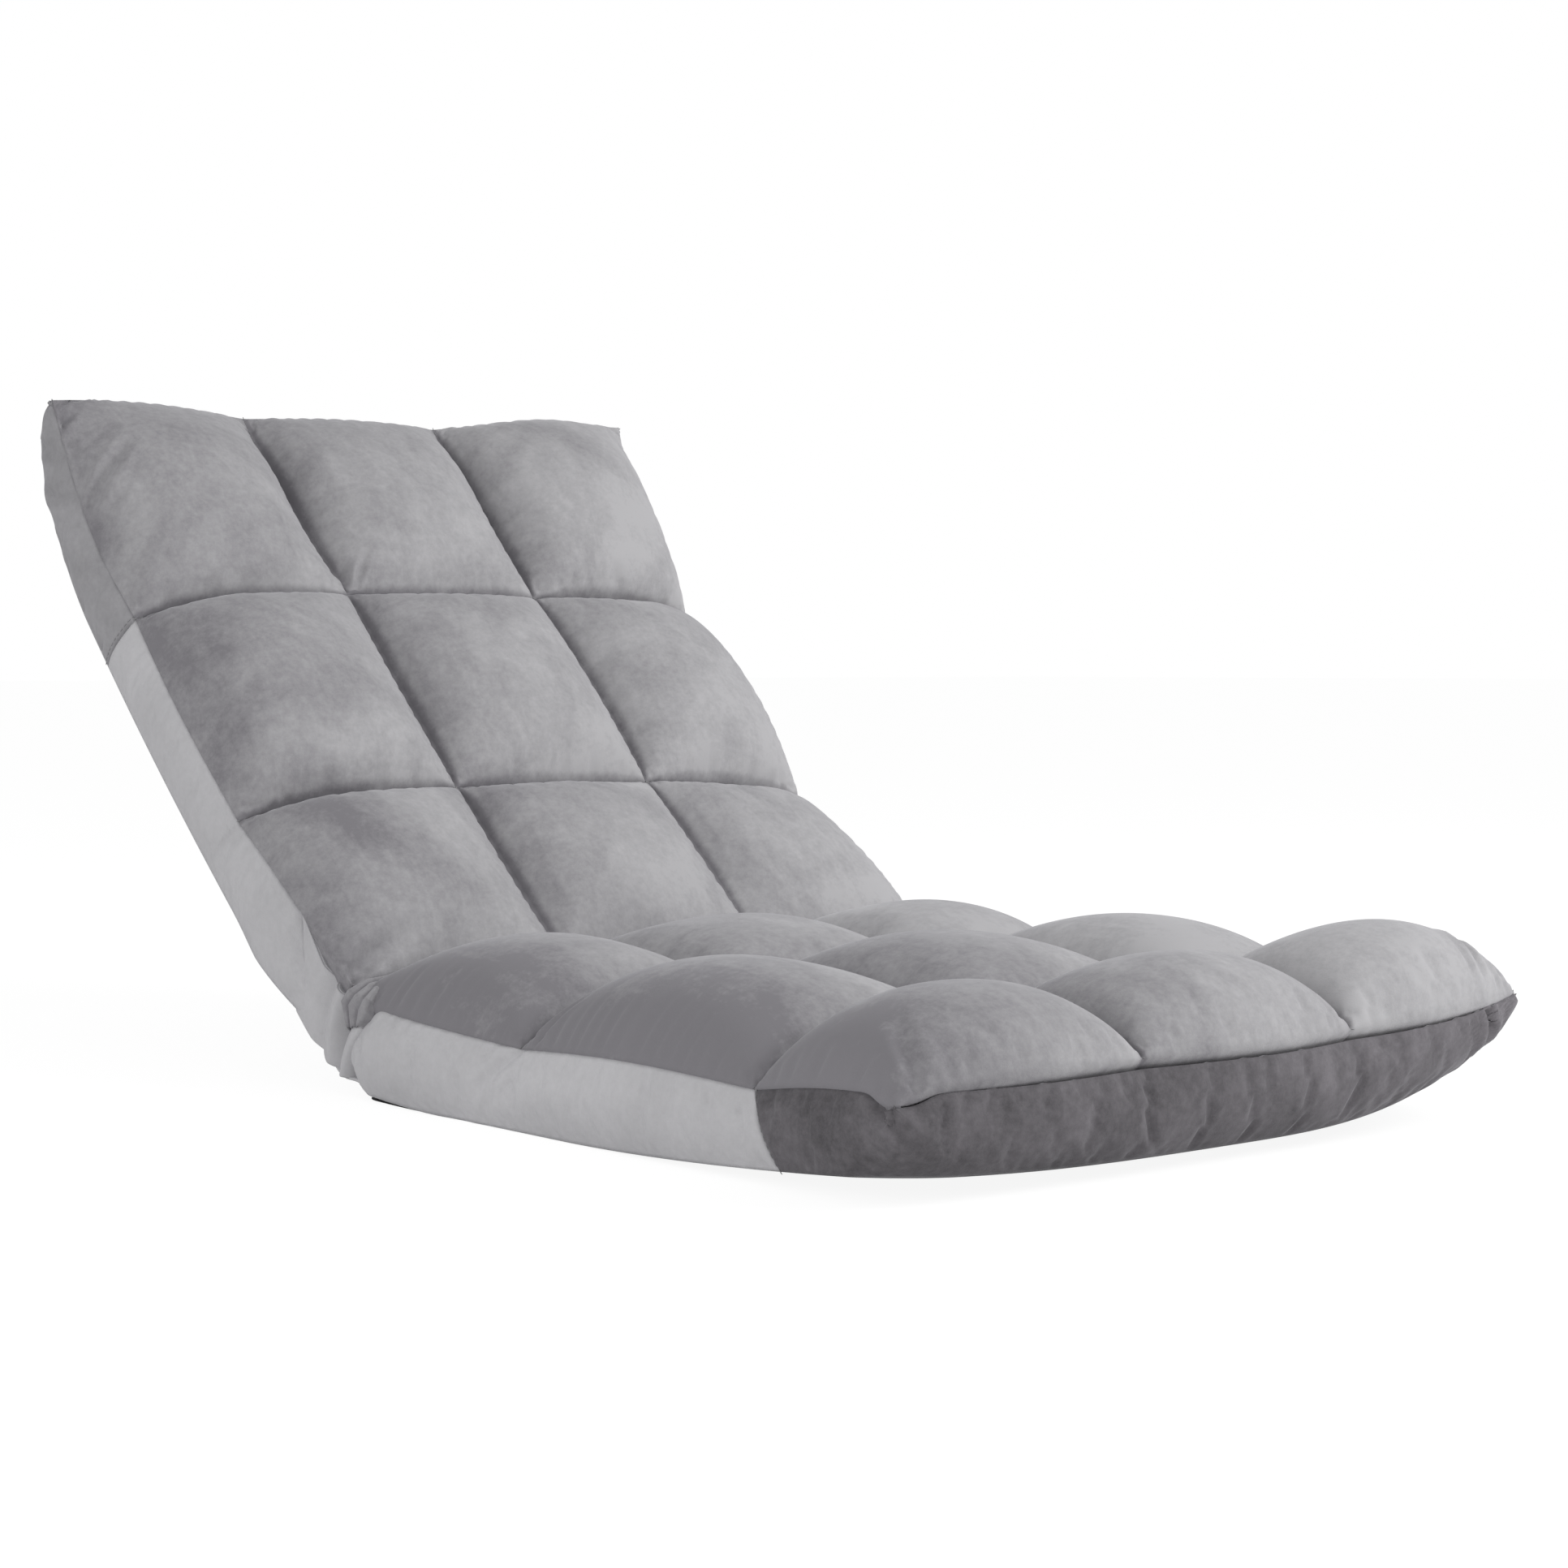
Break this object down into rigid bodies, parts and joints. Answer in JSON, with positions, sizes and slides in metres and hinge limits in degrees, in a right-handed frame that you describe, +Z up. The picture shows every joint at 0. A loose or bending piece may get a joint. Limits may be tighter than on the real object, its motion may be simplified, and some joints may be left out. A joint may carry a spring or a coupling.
{
  "type": "folding floor chair",
  "caption": "Legless floor chair with a quilted seat and backrest that fold on ratchet hinges inside the cushions.",
  "frame": {"origin": "on the floor under the middle of the seat, 255 mm in front of the hinge line", "axes": "+Z up, -Y towards the front of the seat, +Y towards the backrest, +X to the sitter's left"},
  "size_m": [0.526, 0.991, 0.492],
  "materials": {
    "grey_velvet": "matte",
    "light_velvet": "matte",
    "dark_velvet": "matte",
    "black_underside": "matte",
    "backing_cloth": "matte",
    "foam": "matte",
    "webbing": "matte",
    "tuft_thread": "matte",
    "painted_tube": "satin",
    "zinc_steel": "satin",
    "spring_steel": "satin",
    "nylon": "satin"
  },
  "bodies": {
    "seat": {"seat_frame": "painted_tube", "seat_cross_tube": "painted_tube", "seat_webbing": "webbing", "seat_lower_foam": "foam", "seat_upper_foam": "foam", "seat_quilt_backing": "backing_cloth", "seat_quilt_rear": "grey_velvet", "seat_quilt_middle": "grey_velvet", "seat_quilt_front": "grey_velvet", "seat_tuft_ties": "tuft_thread", "seat_side_panel_left": "light_velvet", "seat_side_panel_right": "light_velvet", "seat_front_wrap": "dark_velvet", "seat_underside_cloth": "black_underside", "hinge_cheeks_left": "zinc_steel", "hinge_cheeks_right": "zinc_steel", "hinge_tang_left": "zinc_steel", "hinge_tang_right": "zinc_steel", "hinge_pin_left": "zinc_steel", "hinge_pin_right": "zinc_steel", "pawl_pin_left": "zinc_steel", "pawl_pin_right": "zinc_steel", "pawl_spring_left": "spring_steel", "pawl_spring_right": "spring_steel", "cheek_rivets": "zinc_steel", "seat_frame_rivets": "zinc_steel", "fold_gusset_left": "grey_velvet", "fold_gusset_right": "grey_velvet", "fold_under_cover": "grey_velvet"},
    "backrest": {"back_frame": "painted_tube", "back_cross_tube": "painted_tube", "back_webbing": "webbing", "back_rear_foam": "foam", "back_front_foam": "foam", "back_quilt_backing": "backing_cloth", "back_quilt_lower": "grey_velvet", "back_quilt_middle": "grey_velvet", "back_quilt_top": "grey_velvet", "back_tuft_ties": "tuft_thread", "back_side_panel_left": "light_velvet", "back_side_panel_right": "light_velvet", "back_top_wrap": "dark_velvet", "back_rear_cover": "grey_velvet", "ratchet_plate_left": "zinc_steel", "ratchet_plate_right": "zinc_steel", "hinge_bush_left": "nylon", "hinge_bush_right": "nylon", "back_frame_rivets": "zinc_steel"},
    "pawl_left": {"pawl_left": "zinc_steel"},
    "pawl_right": {"pawl_right": "zinc_steel"}
  },
  "joints": [
    {"name": "backrest_fold", "type": "hinge", "parent": "seat", "child": "backrest", "pos_m": [0, 0.255, 0.045], "axis": [1, 0, 0], "range_deg": [-44, 106], "deforming": ["seat_quilt_rear", "back_quilt_lower", "fold_gusset_left", "fold_gusset_right", "fold_under_cover"]},
    {"name": "pawl_left_lift", "type": "hinge", "parent": "seat", "child": "pawl_left", "pos_m": [0.222, 0.224, 0.054], "axis": [-1, 0, 0], "range_deg": [0, 8], "stiffness_Nm_per_rad": 0.2, "deforming": ["pawl_spring_left"]},
    {"name": "pawl_right_lift", "type": "hinge", "parent": "seat", "child": "pawl_right", "pos_m": [-0.222, 0.224, 0.054], "axis": [-1, 0, 0], "range_deg": [0, 8], "stiffness_Nm_per_rad": 0.2, "deforming": ["pawl_spring_right"]}
  ]
}
